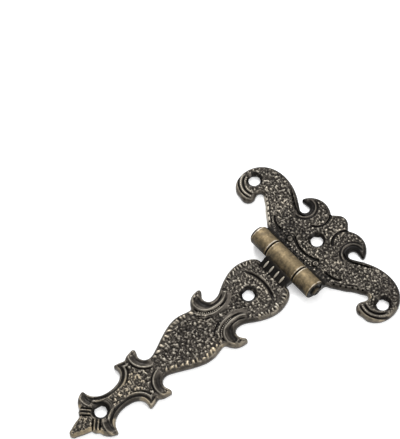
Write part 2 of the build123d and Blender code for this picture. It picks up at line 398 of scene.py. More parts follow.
class Plan:
    """Triangles over the plan of a leaf, with the distance of each point to the rim."""

    def __init__(self, node, pitch, holes, on_rim):
        outer = max(back_loops(node), key=lambda loop: np.ptp(loop[:, 0]) + np.ptp(loop[:, 1]))
        if np.dot(outer[:, 0], np.roll(outer[:, 1], -1)) < np.dot(outer[:, 1], np.roll(outer[:, 0], -1)):
            outer = outer[::-1]
        rings = [np.array(arc_points(hole, HOLE_R, 0, 360, 65))[:-1] for hole in holes]
        self.loops = [divided(outer, 0.26), *rings]
        self.holes = np.array(holes, float)
        rim = np.concatenate(self.loops)
        fine = divided(outer, 0.07)
        length = np.concatenate([[0], np.cumsum(np.hypot(*np.diff(fine, axis=0).T))])
        chosen = (fine[:, 0] > -0.2) & on_rim(fine[:, 0], fine[:, 1])
        ahead = np.roll(fine, -4, 0) - np.roll(fine, 4, 0)
        self.samples, self.sample_length = fine[chosen], length[chosen]
        self.inward = np.arctan2(ahead[:, 1], ahead[:, 0])[chosen] + math.pi / 2
        everything = KDTree(len(rim))
        for index, point in enumerate(rim):
            everything.insert((*point, 0), index)
        everything.balance()
        grid = inside_rows(self.loops, pitch)
        apart = np.array([everything.find((x, y, 0))[2] for x, y in grid])
        grid = grid[apart > 0.45 * pitch]
        points = np.concatenate([rim, grid])
        edges, first = [], 0
        for loop in self.loops:
            ring = first + np.arange(len(loop))
            edges.extend(zip(ring.tolist(), np.roll(ring, -1).tolist()))
            first += len(loop)
        cut = delaunay_2d_cdt([Vector(p) for p in points], edges, [], 0, 1e-6)
        self.points = np.array([v[:] for v in cut[0]])
        faces = np.array([f[:] for f in cut[2]])
        from_rim = np.array([any(i < len(rim) for i in source) for source in cut[3]])
        doubtful = from_rim[faces].all(1)
        keep = ~doubtful
        keep[doubtful] = inside(self.loops, self.points[faces[doubtful]].mean(1))
        self.faces = faces[keep]
        tree = KDTree(len(self.samples))
        for index, point in enumerate(self.samples):
            tree.insert((*point, 0), index)
        tree.balance()
        found = [tree.find((abs(x), y, 0)) for x, y in self.points]
        self.edge = np.array([f[2] for f in found])
        self.along = self.sample_length[np.array([f[1] for f in found])]

    def beside(self, window, pitch, random):
        """Places spaced along the outline inside a window, each with the angle of the way in."""
        x0, x1, y0, y1 = window
        (x, y), places, last = self.samples.T, [], -1e9
        for index in np.flatnonzero((x > x0) & (x < x1) & (y > y0) & (y < y1)):
            if abs(self.sample_length[index] - last) >= pitch:
                last = self.sample_length[index] + random.uniform(-0.3, 0.25) * pitch
                places.append((x[index], y[index], self.inward[index]))
        return places

    def smoothed(self, values, rounds):
        """Values averaged with their neighbours again and again."""
        a = self.faces.ravel()
        b = np.roll(self.faces, -1, 1).ravel()
        count = len(self.points)
        shares = np.bincount(a, minlength=count) + np.bincount(b, minlength=count)
        for _ in range(rounds):
            total = np.bincount(a, values[b], count) + np.bincount(b, values[a], count)
            values = 0.4 * values + 0.6 * total / shares
        return values


def wound(faces, points, way):
    """The faces wound so that they look up, or down where way is -1."""
    a, b, c = faces.T
    ab, ac = points[b] - points[a], points[c] - points[a]
    turned = way * (ab[:, 0] * ac[:, 1] - ab[:, 1] * ac[:, 0]) < 0
    return np.where(turned[:, None], faces[:, ::-1], faces)


def open_sides(faces):
    """Sides that only one face has."""
    sides = np.concatenate([faces[:, [0, 1]], faces[:, [1, 2]], faces[:, [2, 0]]])
    ways = set(map(tuple, sides.tolist()))
    return [(i, j) for i, j in ways if (j, i) not in ways]


def back_faces(loops, foot, sides):
    """Faces of the flat back, as places in the list of the points round its foot."""
    cut = delaunay_2d_cdt([Vector(p) for p in foot], sides, [], 0, 1e-6)
    points = np.array([v[:] for v in cut[0]])
    faces = np.array([f[:] for f in cut[2]])
    faces = wound(faces[inside(loops, points[faces].mean(1))], points, -1)
    return np.array([s[0] for s in cut[3]])[faces]


def carved_leaf(name, plan, height, fields):
    """Closed piece of a leaf: carved top, upright rim and flat back.

    A field is given as its values and the one value at the foot.
    """
    count = len(plan.points)
    top = wound(plan.faces, plan.points, 1)
    border = open_sides(top)
    rim = sorted({i for side in border for i in side})
    below = {vert: count + index for index, vert in enumerate(rim)}
    foot = plan.points[rim]
    for hole in plan.holes:
        away = foot - hole
        ring = np.hypot(*away.T) < HOLE_R + 0.01
        foot[ring] = hole + away[ring] * HOLE_BACK_R / HOLE_R
    walls = [(j, i, below[i], below[j]) for i, j in border]
    back = back_faces(plan.loops, foot, [(below[i] - count, below[j] - count) for i, j in border])
    upper = np.column_stack([plan.points, height])
    lower = np.column_stack([foot, np.zeros(len(rim))])
    faces = top.tolist() + walls + (count + back).tolist()
    mesh = bpy.data.meshes.new(name)
    mesh.from_pydata((np.concatenate([upper, lower]) * MM).tolist(), [], faces)
    for title, (values, at_foot) in fields.items():
        field = mesh.attributes.new(title, "FLOAT", "POINT")
        field.data.foreach_set("value", np.append(values, np.full(len(rim), at_foot)).astype(np.float32))
    mesh.polygons.foreach_set("use_smooth", np.arange(len(faces)) < len(top) + len(walls))
    mesh.update()
    return linked(name, mesh)


def linked(name, data):
    """A new object in the scene."""
    thing = bpy.data.objects.new(name, data)
    bpy.context.scene.collection.objects.link(thing)
    return thing


def carved_height(plan, relief, settings):
    """Height of the ornament on a flat plate, and of the leaf with its rounded rim and countersunk holes."""
    grain = settings.grain_height / MM
    relief.grain *= smoothstep(0.7, 1.5, plan.edge)
    flat = PLATE - 0.55 * grain * relief.grain + relief.line_height + relief.grain * relief.stipple * grain
    t = np.clip(plan.edge / (settings.rim_width / MM), 0, 1)
    height = RIM_FOOT + (flat - RIM_FOOT) * np.sqrt(1 - (1 - t) ** 2)
    for hole in plan.holes:
        r = np.hypot(*(plan.points - hole).T)
        height += 0.18 * bump((r - MOUTH_R - 0.5) / 0.7)
        height = np.minimum(height, PLATE - MOUTH_R + HOLE_R + np.clip(r - HOLE_R, 0, None))
    return flat, np.clip(height, 0.5, None)


def finish_fields(plan, relief, flat, rim):
    """How rubbed, how much brass and how grainy each point is, each field with its value at the foot. The
    rubbed field also holds the painted highlight and shade of the rims and painted shade in the countersinks,
    and the brass field a painted highlight.
    """
    local = flat - plan.smoothed(flat, 50)
    rubbed = (local / (0.62 - 0.12 * relief.grain) + relief.stain
              + 0.6 * relief.grain * (relief.shine - 0.5) - 0.1)
    wave = 0.85 + 0.25 * np.sin(plan.along * 0.9) * np.sin(plan.along * 0.37 + plan.points[:, 0])
    # Painted highlight and painted shade along the rounded rim, varied along its length, in a band that also
    # takes the brass.
    worn = rim * (1 - smoothstep(0.9, 1.9, plan.edge))
    rubbed += relief.rim * wave * worn
    # A rubbed ring round each countersink, and painted shade inside it.
    for hole in plan.holes:
        r = np.hypot(*(plan.points - hole).T)
        rubbed += 0.15 * bump((r - MOUTH_R - 0.5) / 0.8) - 0.5 * (r < MOUTH_R)
    return {"rubbed": (np.clip(rubbed, -1, 1), -0.2), "brassy": (worn * relief.brassy + relief.gilt_and_painted_highlight, 0),
            "grainy": (relief.grain, 1)}


# Finishes


class Nodes:
    """Adds nodes to a tree. An input that is given a socket is linked to it, and any other value is set."""

    def __init__(self, tree):
        self.tree = tree

    def add(self, kind, *inputs, **values):
        """A node with its first inputs, then named inputs or settings. Two underlines stand for a space."""
        node = self.tree.nodes.new(kind)
        for key, value in [*enumerate(inputs), *values.items()]:
            name = key.replace("__", " ") if isinstance(key, str) else key
            if isinstance(name, str) and name not in node.inputs:
                setattr(node, name, value)
            elif isinstance(value, bpy.types.NodeSocket):
                self.tree.links.new(value, node.inputs[name])
            else:
                node.inputs[name].default_value = value
        return node

    def math(self, operation, *inputs, **values):
        return self.add("ShaderNodeMath", *inputs, operation=operation, **values).outputs[0]

    def spread(self, value, **ends):
        """The value moved from one range to another, both of them 0 to 1 unless said."""
        return self.add("ShaderNodeMapRange", value, **ends).outputs["Result"]

    def noise(self, place, **values):
        return self.add("ShaderNodeTexNoise", place, **values).outputs["Fac"]

    def ramp(self, value, stops):
        """Colours along a value, from pairs of a place and a colour."""
        node = self.add("ShaderNodeValToRGB", value)
        elements = node.color_ramp.elements
        for element, (position, shade) in zip(elements, (stops[0], stops[-1])):
            element.position, element.color = position, (*shade, 1)
        for position, shade in stops[1:-1]:
            elements.new(position).color = (*shade, 1)
        return node.outputs["Color"]


def new_material(name):
    material = bpy.data.materials.new(name)
    material.use_nodes = True
    material.node_tree.nodes.clear()
    return material, Nodes(material.node_tree)


def dimmed(shade, share):
    return tuple(share * value for value in shade)


def cast_bronze(name, colours, lift=0.0):
    """Patina that is near black in the hollows and rubbed to beige and brass on the ridges, with the painted
    highlight and painted shade that its attributes also carry.
    """
    material, tree = new_material(name)
    place = tree.add("ShaderNodeTexCoord").outputs["Object"]
    # The rubbed and brass attributes hold painted highlight and painted shade as well as wear.
    rubbed, brassy, grainy = (tree.add("ShaderNodeAttribute", attribute_name=title).outputs["Fac"]
                              for title in ("rubbed", "brassy", "grainy"))
    blotch = tree.noise(place, Scale=850, Detail=5, Roughness=0.6)
    pits = tree.noise(place, Scale=2600, Detail=3)
    patch = tree.noise(place, Scale=110, Detail=3)
    strength = tree.spread(grainy, To__Min=0.8, To__Max=2.6)
    speckle = tree.math("MULTIPLY_ADD", tree.math("SUBTRACT", blotch, 0.5), strength, lift)
    worn = tree.math("ADD", rubbed, tree.spread(patch, To__Min=-0.45, To__Max=0.45))
    level = tree.math("ADD", worn, speckle)
    metal = tree.ramp(tree.spread(level, From__Min=-1, From__Max=1), (
        (0.12, colours.recess), (0.36, dimmed(colours.body, 0.5)), (0.52, colours.body),
        (0.74, dimmed(colours.rubbed, 0.45)), (1.0, colours.rubbed)))
    patchy = tree.spread(patch, From__Min=0.45, From__Max=0.75, To__Max=0.3)
    amount = tree.math("ADD", patchy, brassy, use_clamp=True)
    gate = tree.math("MULTIPLY", amount, tree.spread(level, From__Max=0.6))
    brass = [b / r for b, r in zip(colours.brass, colours.rubbed)]
    tint = tree.add("ShaderNodeMix", data_type="RGBA", blend_type="MULTIPLY", Factor=gate, A=metal,
                    B=(*brass, 1))
    rough = tree.spread(blotch, From__Min=0.3, From__Max=0.7, To__Min=0.28, To__Max=0.44)
    dent = tree.add("ShaderNodeBump", Strength=0.3, Distance=0.0001, Height=pits)
    shader = tree.add("ShaderNodeBsdfPrincipled", Metallic=0.75, Specular__IOR__Level=0.25, Roughness=rough,
                      Base__Color=tint.outputs["Result"], Normal=dent.outputs["Normal"])
    tree.add("ShaderNodeOutputMaterial", shader.outputs[0])
    return material


def painted_edge_light_bands(tree, x):
    """Painted light along the barrel: half on the shells, one for a painted highlight on their turned edges
    and nought for painted shade in the gaps and on the end faces.
    """
    reach = 20
    bands = ((0, 0.5), (MIDDLE_HALF - 0.85, 0.5), (MIDDLE_HALF - 0.6, 1), (MIDDLE_HALF - 0.3, 1),
             (MIDDLE_HALF - 0.2, 0), (OUTER_START + 0.2, 0), (OUTER_START + 0.3, 1), (OUTER_START + 0.6, 1),
             (OUTER_START + 0.85, 0.5), (BARREL_HALF - 0.85, 0.5), (BARREL_HALF - 0.55, 1),
             (BARREL_HALF - 0.25, 1), (BARREL_HALF - 0.15, 0), (BARREL_HALF + 0.6, 0),
             (BARREL_HALF + 0.75, 0.45))
    place = tree.spread(tree.math("ABSOLUTE", x), From__Max=reach * MM)
    return tree.ramp(place, [(away / reach, (value,) * 3) for away, value in bands])


def turned_bronze(name, shade, colours):
    """Smooth bronze of the barrel with painted light: a painted highlight on top and painted shade down its
    sides, cloudy, with painted highlights on the turned edges.
    """
    material, tree = new_material(name)
    place = tree.add("ShaderNodeTexCoord").outputs["Object"]
    stretched = tree.add("ShaderNodeMapping", place, Scale=(1100, 260, 260)).outputs[0]
    lines = tree.noise(stretched, Scale=1, Detail=2)
    cloud = tree.noise(place, Scale=520, Detail=6, Roughness=0.65)
    x, y, z = tree.add("ShaderNodeSeparateXYZ", place).outputs
    # Painted top light: the colour grows lighter with height over the pin, leant a little towards +y, and
    # darker down the sides.
    lean = 0.2
    axis = PIN_Z + lean * PIN_Y
    height = tree.spread(tree.math("MULTIPLY_ADD", y, lean, z), From__Min=(axis - 1.5) * MM,
                         From__Max=(axis + BARREL_R) * MM)
    mottle_and_painted_top_light = tree.math("MULTIPLY_ADD", cloud, 2.1, height)
    level = tree.math("MULTIPLY_ADD", lines, 0.6, mottle_and_painted_top_light)
    # Painted highlights on the turned edges and painted shade in the gaps and on the end faces.
    total = tree.math("MULTIPLY_ADD", painted_edge_light_bands(tree, x), 1.3, level)
    metal = tree.ramp(tree.spread(total, From__Min=2.02, From__Max=3.6), (
        (0, colours.recess), (0.2, dimmed(shade, 0.25)), (0.45, dimmed(shade, 0.6)), (0.66, shade),
        (0.82, dimmed(shade, 1.35)), (1, dimmed(colours.rubbed, 1.3))))
    rough = tree.spread(cloud, To__Min=0.50, To__Max=0.66)
    dent = tree.add("ShaderNodeBump", Strength=0.25, Distance=0.00005, Height=level)
    shader = tree.add("ShaderNodeBsdfPrincipled", Metallic=0.6, Base__Color=metal, Roughness=rough,
                      Normal=dent.outputs["Normal"])
    tree.add("ShaderNodeOutputMaterial", shader.outputs[0])
    return material


# Node trees for what repeats


def geometry_tree(name, sockets):
    """A geometry tree with the named inputs, and those inputs."""
    group = bpy.data.node_groups.new(name, "GeometryNodeTree")
    for way in ("INPUT", "OUTPUT"):
        group.interface.new_socket("Geometry", in_out=way, socket_type="NodeSocketGeometry")
    for title, kind, value in sockets:
        socket = group.interface.new_socket(title, in_out="INPUT", socket_type="NodeSocket" + kind)
        if value is not None:
            socket.default_value = value
    return Nodes(group), group.nodes.new("NodeGroupInput").outputs


def finish_tree(tree, geometry, given):
    """Ends a tree with plain, smooth geometry and a material."""
    smooth = tree.add("GeometryNodeSetShadeSmooth", Geometry=geometry)
    real = tree.add("GeometryNodeRealizeInstances", Geometry=smooth.outputs[0])
    coat = tree.add("GeometryNodeSetMaterial", Geometry=real.outputs[0], Material=given["Material"])
    tree.add("NodeGroupOutput", coat.outputs[0])
    return tree.tree


def plain_piece(name, base, tree, values):
    """The base mesh run through a tree and kept as a plain mesh."""
    source = linked(name + "_base", base)
    modifier = source.modifiers.new("Nodes", "NODES")
    modifier.node_group = tree
    for item in tree.interface.items_tree:
        if item.item_type == "SOCKET" and item.in_out == "INPUT" and item.name in values:
            modifier[item.identifier] = values[item.name]
    graph = bpy.context.evaluated_depsgraph_get()
    mesh = bpy.data.meshes.new_from_object(source.evaluated_get(graph))
    mesh.name = name
    bpy.data.objects.remove(source)
    return linked(name, mesh)


def shell_tree():
    """Turns a profile round the pin."""
    tree, given = geometry_tree("Turned shell", (
        ("Radius", "Float", 0.003), ("Segments", "Int", 64), ("Centre", "Vector", None),
        ("Material", "Material", None)))
    profile = tree.add("GeometryNodeMeshToCurve", given["Geometry"])
    circle = tree.add("GeometryNodeCurvePrimitiveCircle", Radius=given["Radius"],
                      Resolution=given["Segments"])
    sweep = tree.add("GeometryNodeCurveToMesh", circle.outputs["Curve"], profile.outputs[0])
    turn = tree.add("GeometryNodeTransform", Geometry=sweep.outputs[0], Rotation=(0, math.pi / 2, 0),
                    Translation=given["Centre"])
    return finish_tree(tree, turn.outputs[0], given)


def bead_tree():
    """Sets beads along the lines of the base mesh. A bead is rubbed more towards its top."""
    tree, given = geometry_tree("Bead row", (
        ("Pitch", "Float", 0.001), ("Bead radius", "Float", 0.0004), ("Stretch", "Vector", (1, 1, 1)),
        ("Lean", "Vector", (0, 0, 0)), ("Unevenness", "Float", 0.12), ("Detail", "Int", 2),
        ("Seed", "Int", 0), ("Material", "Material", None)))
    line = tree.add("GeometryNodeMeshToCurve", given["Geometry"])
    spaced = tree.add("GeometryNodeResampleCurve", line.outputs[0], mode="LENGTH", Length=given["Pitch"])
    bead = tree.add("GeometryNodeMeshIcoSphere", Radius=given["Bead radius"], Subdivisions=given["Detail"])
    place = tree.add("GeometryNodeInputPosition").outputs[0]
    height = tree.add("ShaderNodeSeparateXYZ", place).outputs["Z"]
    share = tree.math("DIVIDE", height, given["Bead radius"])
    kept = tree.add("GeometryNodeStoreNamedAttribute", Geometry=bead.outputs["Mesh"], Name="rubbed",
                    Value=share)
    stretched = tree.add("GeometryNodeTransform", Geometry=kept.outputs[0], Scale=given["Stretch"],
                         Rotation=given["Lean"])
    least = tree.math("SUBTRACT", 1, given["Unevenness"])
    varied = tree.add("FunctionNodeRandomValue", data_type="FLOAT", Min=least, Seed=given["Seed"])
    row = tree.add("GeometryNodeInstanceOnPoints", Points=spaced.outputs[0], Instance=stretched.outputs[0],
                   Scale=varied.outputs["Value"])
    return finish_tree(tree, row.outputs[0], given)


def line_mesh(name, lines):
    """Mesh of open lines, in metres."""
    vertices, edges = [], []
    for line in lines:
        first = len(vertices)
        vertices.extend(Vector(p) * MM for p in line)
        edges.extend((first + i, first + i + 1) for i in range(len(line) - 1))
    mesh = bpy.data.meshes.new(name)
    mesh.from_pydata(vertices, edges, [])
    return mesh


def knuckle_profile(start, end, bore, chamfer):
    """Section of a knuckle beside the pin's axis, wound so that its faces point out."""
    r, c = BARREL_R, chamfer
    outline = [(bore, start), (r - c, start), (r - 0.3 * c, start + 0.3 * c), (r, start + c),
               (r, end - c), (r - 0.3 * c, end - 0.3 * c), (r - c, end), (bore, end)]
    mesh = bpy.data.meshes.new("profile")
    points = [((x - bore) * MM, -y * MM, 0) for x, y in outline]
    mesh.from_pydata(points, [(i, (i + 1) % len(points)) for i in range(len(points))], [])
    return mesh


# The ornament of each leaf


def frame_ornament(relief):
    """Chased lines of the frame leaf: horns, crest, arms, band over the foot and hooked ends."""
    deep = -relief.depth
    band = 1.15 * deep
    for radius, width, height, start, end, fade in (
            (3.0, 1.1, -0.45, 60, 285, 30), (4.05, 0.6, 0.7 * deep, 60, 285, 30),
            (4.9, 0.65, 0.05, 60, 285, 30), (5.75, 0.6, 0.7 * deep, 85, 280, 25)):
        relief.ring(FRAME_HORN, radius, width, height, start, end, fade)
    relief.stain -= 0.25 * (relief.polar(FRAME_HORN, 50, 290)[0] < 6)
    relief.clear_disc(FRAME_HORN, 5.9, 50, 290)
    relief.stroke([(12, 4.2), (15.5, 3.3), (19, 4.2), (22, 6), (26, 8.2), (29, 9.4)], 0.55, deep, (0.1, 0.4))
    relief.grain *= 1 - relief.window(17, 25, 4.0, 9.0) * (1 - smoothstep(1.3, 1.7, relief.edge))
    crest, foot = (9.6, 8.5), (0, 5.63)
    relief.stroke(arc_points(crest, 7.1, 140, 236), 0.6, 0.15)
    relief.stroke(arc_points(crest, 6.05, 130, 252), 0.85, band, (0.05, 0.2), 0.9, 0.3)
    relief.stroke([(9.2, 2.2), (7.4, 3.3), (5.8, 4.8)], 0.4, 0.3)
    relief.stroke([(9.6, 3.3), (8.5, 4.0), (7.5, 5.0)], 0.4, 0.3)
    relief.stroke(arc_points(foot, 14.0, 306, 269), 0.85, band, (0.12, 0), 0.9, 0.3)
    relief.stroke(arc_points(foot, 12.8, 300, 269), 0.5, 0.12, (0.12, 0))
    relief.stroke([(21.8, -5.2), (19.5, -7), (16, -7.9), (13.0, -7.8)], 0.75, band, (0.1, 0.25), 0.9, 0.25)
    relief.clear_disc(FOOT_RING, 1.3)
    relief.ring(FOOT_RING, 0.85, 0.5, 0.3)
    relief.ring(FOOT_RING, 1.6, 0.4, -0.3)
    # Painted shade on the webs beside the outer knuckles and along the edge beside the middle knuckle.
    relief.stain -= 0.35 * relief.window(9, 18, -12.7, -8.6) + 0.6 * relief.window(0, 8.7, -12.7, -10.4, 0.3)
    for radius, width, height in ((9.35, 0.9, 0.1), (8.65, 0.55, deep), (7.65, 0.6, 0.15), (6.6, 0.55, deep),
                                  (5.6, 0.6, 0.15)):
        relief.ring(HOOK, radius, width, height, 238, 352, 20)
    r, window = relief.polar(HOOK, 238, 355)
    relief.grain *= 1 - window * smoothstep(4.6, 5.2, r)
    relief.line_height -= 0.4 * relief.window(20, 31, -10.5, -2.5) * bump((relief.edge - 1.9) / 0.5)
    under_arm = relief.window(20, 33, -11, -2.4)
    relief.grain *= 1 - under_arm * (1 - smoothstep(1.7, 2.1, relief.edge))
    # Painted highlight: the brass on the hooked ends and the rims are brighter on the right, the rim under
    # the left arm is painted bright, and the other rims get a little painted shade.
    painted_highlight_on_right = 1 + 0.4 * np.sign(relief.x)
    relief.brassy += 0.5 * painted_highlight_on_right * relief.window(34, 48, -12, 3)
    relief.rim += relief.brassy - 0.1 + 1.3 * under_arm * (relief.x < 0)
    # Painted light: the left arm lighter, the right arm and the middle darker.
    relief.stain += 0.06 * (relief.x < -20) - 0.04 * (relief.x > 20) - 0.09 * relief.window(0, 20, -12, 9, 5)


def strap_ornament(relief):
    """Chased lines of the strap: head, horns, leaf, bays, fins, collars and bud."""
    deep = -relief.depth
    relief.stroke([(0, -30.6), (4, -31.1), (7.5, -32.3), (9.9, -34.0)], 0.7, deep, (0, 0.45), 1.3, 0.35)
    relief.stroke([(0, -29.4), (4, -29.9), (7.9, -31.1), (10.4, -32.8)], 0.55, 0.15, (0, 0.2))
    relief.ring(STRAP_HORN, 5.2, 1.9, -0.6, 200, 305, 30)
    relief.clear_disc(STRAP_HORN, 9.8, 118, 292)
    for points, width, height, fade in (
            ([(7.9, -47.2), (6.5, -49.6), (6.1, -52.3), (6.5, -54.8), (7.9, -56.6)],
             0.55, 0.8 * deep, (0.2, 0.3)),
            ([(7.4, -45.2), (5.4, -48.6), (4.8, -52.0), (5.1, -55.0), (6.1, -57.6), (8.2, -59.4),
              (11.2, -60.0), (13.6, -58.9), (14.9, -56.9)], 0.75, 0.42, (0.1, 0.1)),
            ([(5.6, -46.2), (4.1, -49), *BEAD_GROOVE, (10.5, -61.2)], 0.6, deep, (0.25, 0.1)),
            ([(2.8, -50), (2.6, -54), (3.2, -57.2), (4.9, -60.1), (7.3, -61.8), (9.6, -62.6)],
             0.7, 0.32, (0.3, 0.1)),
            ([(1.6, -55), (2.1, -58), (3.9, -61.4), (6.6, -63.3)], 0.5, 0.7 * deep, (0.3, 0.3))):
        relief.stroke(points, width, height, fade)
    relief.ring(FIN, 5.1, 1.7, -0.5, 195, 305, 30)
    relief.ring(FIN, 7.2, 0.7, 0.4, 180, 305, 25)
    relief.ring(FIN, 8.05, 0.5, 0.8 * deep, 185, 285, 25)
    relief.clear_disc(FIN, 8.2, 175, 300)
    bay = relief.window(3, 13, -119.5, -99.5)
    for distance, width, height in ((0.5, 0.6, 0.1), (1.6, 0.75, 0.9 * deep), (2.8, 0.65, 0.35),
                                    (3.6, 0.45, 0.8 * deep)):
        relief.line_height += bay * height * bump((relief.edge - distance) / width)
    relief.grain *= 1 - bay * (1 - smoothstep(3.6, 4.0, relief.edge))
    relief.ring(FOOT, 5.0, 1.6, -0.5, 225, 312, 20)
    relief.ring(FOOT, 7.0, 0.65, 0.4, 225, 315, 20)
    relief.clear_disc(FOOT, 7.2, 215, 315)
    relief.ring(STRAP_HOLES[1], 5.25, 0.6, 0.2)
    relief.clear_disc(STRAP_HOLES[1], 5.7)
    collar = np.array([(1.8, -122.9), (5.6, -126.4)])
    across = np.array([0.68, 0.73])
    for shift, height in ((-0.75, 0.3), (0.75, 0.3), (1.6, deep), (-1.6, deep)):
        relief.stroke([tuple(p + across * shift) for p in collar], 0.45, height)
    relief.stroke([tuple(p) for p in collar], 0.5, -0.35, clear=1.6)
    relief.stroke([(0, -126.5), (0, -133.5)], 0.6, 0.3, (0.2, 0.2))
    head, leaf, horn, fin = (relief.window(*corners) for corners in (
        (6, 16, -43, -26), (4, 14, -88, -63), (11, 18, -63, -52), (9, 15, -98, -90)))
    bays, bud, waist = (relief.window(*corners) for corners in (
        (7, 14, -126, -100), (0, 8, -137, -125), (0, 4, -136, -98)))
    # Painted highlight: brass on the borders of the head, leaf, horns, fins, bays and bud, more on the right,
    # which also brightens their rims.
    painted_highlight_on_right = 1 + 0.2 * np.sign(relief.x)
    relief.brassy += 0.55 * painted_highlight_on_right * (0.8 * head + 0.5 * leaf + horn + fin + bays + bud)
    relief.rim += relief.brassy
    border = leaf * (1 - smoothstep(3, 4, relief.edge))
    # A brass tint on the waist, and a brass painted highlight on the leaf's border that is brighter on the
    # right.
    relief.gilt_and_painted_highlight += 0.5 * waist + (0.4 + 0.15 * np.sign(relief.x)) * border
    relief.stain += 0.2 * waist * relief.grain + 0.08 * border
    relief.stain -= 0.04 * relief.window(0, 9, -84, -62) * (1 - border)


def flat_border(x, y):
    """Whether the frame leaf's outline here is its rim and not the web to the barrel."""
    return y > -12.6


def strap_border(x, y):
    """Whether the strap's outline here is its rim and not the neck."""
    return y < -24.2


def off_the_leaf(x, y):
    """Whether a place on the strap lies outside its broad leaf."""
    return y > -60 or y < -90


def on_the_leaf(x, y):
    return not off_the_leaf(x, y)


def leaf_swirl(x, y):
    """Direction in which the grains of the leaf flow."""
    return math.atan2(y + 74, abs(x) + 0.5) + 1.2


def frame_grains(settings):
    """The frame leaf's grains: an even field of large ones with small ones between."""
    grains = Grains((-48, -20), (48, 17.5), settings.seed)
    pitch = settings.grain_pitch / MM
    grains.scatter(pitch, (0.36, 0.66), 0.5)
    grains.scatter(0.65 * pitch, (0.3, 0.6), 0.5, (0.2, 0.6))
    return grains


def strap_grains(settings, plan):
    """The strap's grains: fields, swirls on the leaf, lobes along its borders and the knobs of the head."""
    grains = Grains((-17, -137), (17, -17), settings.seed + 1)
    pitch = settings.grain_pitch / MM
    grains.scatter(pitch, (0.36, 0.7), 0.6, keep=off_the_leaf)
    grains.scatter(0.65 * pitch, (0.3, 0.6), 0.5, (0.2, 0.6))
    grains.scatter(pitch * 1.3, (0.32, 0.6), 0.9, (0.5, 1.1), leaf_swirl, on_the_leaf, 0.8)
    grains.lobes(plan, (8, 16, -43, -26.5), 1.7, 1.9, (0.8, 1.7), (0.42, 0.75), 12, 1.0)
    grains.lobes(plan, (3, 14, -88, -63), 2.4, 1.7, (1.0, 2.0), (0.6, 1.0), -35, 0.9)
    for angle in np.arange(58, 123, 5.6):
        knob = arc_points((0, -46.7), 14.6, angle, angle, 1)[0]
        grains.stamp(*knob, math.radians(angle), 0.65, 0.5, 0, 1.1, 0.85)
    return grains


def web_height(y, height):
    """Height of the webs that curl up from the frame leaf into the outer knuckles."""
    ramp = PLATE + 3.8 * np.clip((WEB_FOOT_Y - y) / 3.42, 0, 1) ** 2.5
    under = np.interp(-y, [13.62, 14.2, 15.4, 16.5, 17.7], [6.4, 5.5, 3.0, 2.0, 1.2])
    return np.where(y > -13.62, np.maximum(height, ramp), under)


def neck_height(y):
    """Height of the neck that rises from the strap into the middle knuckle."""
    return np.interp(-y, [17.7, 19.0, 20.0, 21.0, 22.1, 23.0, 24.4, 25.6, 26.6],
                     [1.2, 2.0, 3.2, 4.8, 5.44, 4.95, 4.2, 3.35, 2.6])


# Stage


def pale_floor():
    """A pale matt floor that glows a little."""
    mesh = bpy.data.meshes.new("floor")
    corners = ((-1, -1), (1, -1), (1, 1), (-1, 1))
    mesh.from_pydata([(x * FLOOR_HALF, y * FLOOR_HALF, FLOOR_Z) for x, y in corners], [], [(0, 1, 2, 3)])
    material, tree = new_material("Pale floor")
    base = tree.add("ShaderNodeBsdfDiffuse", Color=(0.9, 0.9, 0.9, 1))
    glow = tree.add("ShaderNodeEmission", Strength=0.35)
    both = tree.add("ShaderNodeAddShader", base.outputs[0], glow.outputs[0])
    tree.add("ShaderNodeOutputMaterial", both.outputs[0])
    mesh.materials.append(material)
    return linked("floor", mesh)


def light_world(scene):
    """White surroundings, full to the camera and in reflections and dimmer as light."""
    world = bpy.data.worlds.new("Studio")
    world.use_nodes = True
    scene.world = world
    tree = Nodes(world.node_tree)
    path = tree.add("ShaderNodeLightPath").outputs
    seen = tree.math("MAXIMUM", path["Is Camera Ray"], path["Is Glossy Ray"])
    level = tree.spread(seen, To__Min=WORLD_LIGHT, To__Max=WORLD_SEEN)
    background = world.node_tree.nodes["Background"]
    background.inputs["Color"].default_value = (1, 1, 1, 1)
    world.node_tree.links.new(level, background.inputs["Strength"])


def set_lamps():
    """The lamps, turned towards the hinge."""
    for name, place, size, power in LAMPS:
        lamp = bpy.data.lights.new(name, "AREA")
        lamp.energy = power
        lamp.size = size
        holder = linked(name, lamp)
        holder.location = place
        aim = Vector(LAMP_AIM) - Vector(place)
        holder.rotation_euler = aim.to_track_quat("-Z", "Y").to_euler()


def set_camera(scene):
    """The camera where the photograph was taken from."""
    data = bpy.data.cameras.new("camera")
    data.lens = CAMERA_LENS
    data.sensor_width = 36
    data.clip_start = 0.01
    azimuth, elevation, roll = (math.radians(angle) for angle in CAMERA_TURN)
    back = Vector((math.sin(azimuth) * math.cos(elevation), -math.cos(azimuth) * math.cos(elevation),
                   math.sin(elevation)))
    right = Vector((math.cos(azimuth), math.sin(azimuth), 0))
    up = back.cross(right)
    right, up = right * math.cos(roll) + up * math.sin(roll), up * math.cos(roll) - right * math.sin(roll)
    turn = Matrix((right, up, back)).transposed().to_4x4()
    turn.translation = (Vector(CAMERA_TARGET) + back * CAMERA_DISTANCE) * MM
    camera = linked("camera", data)
    camera.matrix_world = turn
    scene.camera = camera


# Steps


def lattice_pitch(settings):
    return settings.lattice / MM * 1


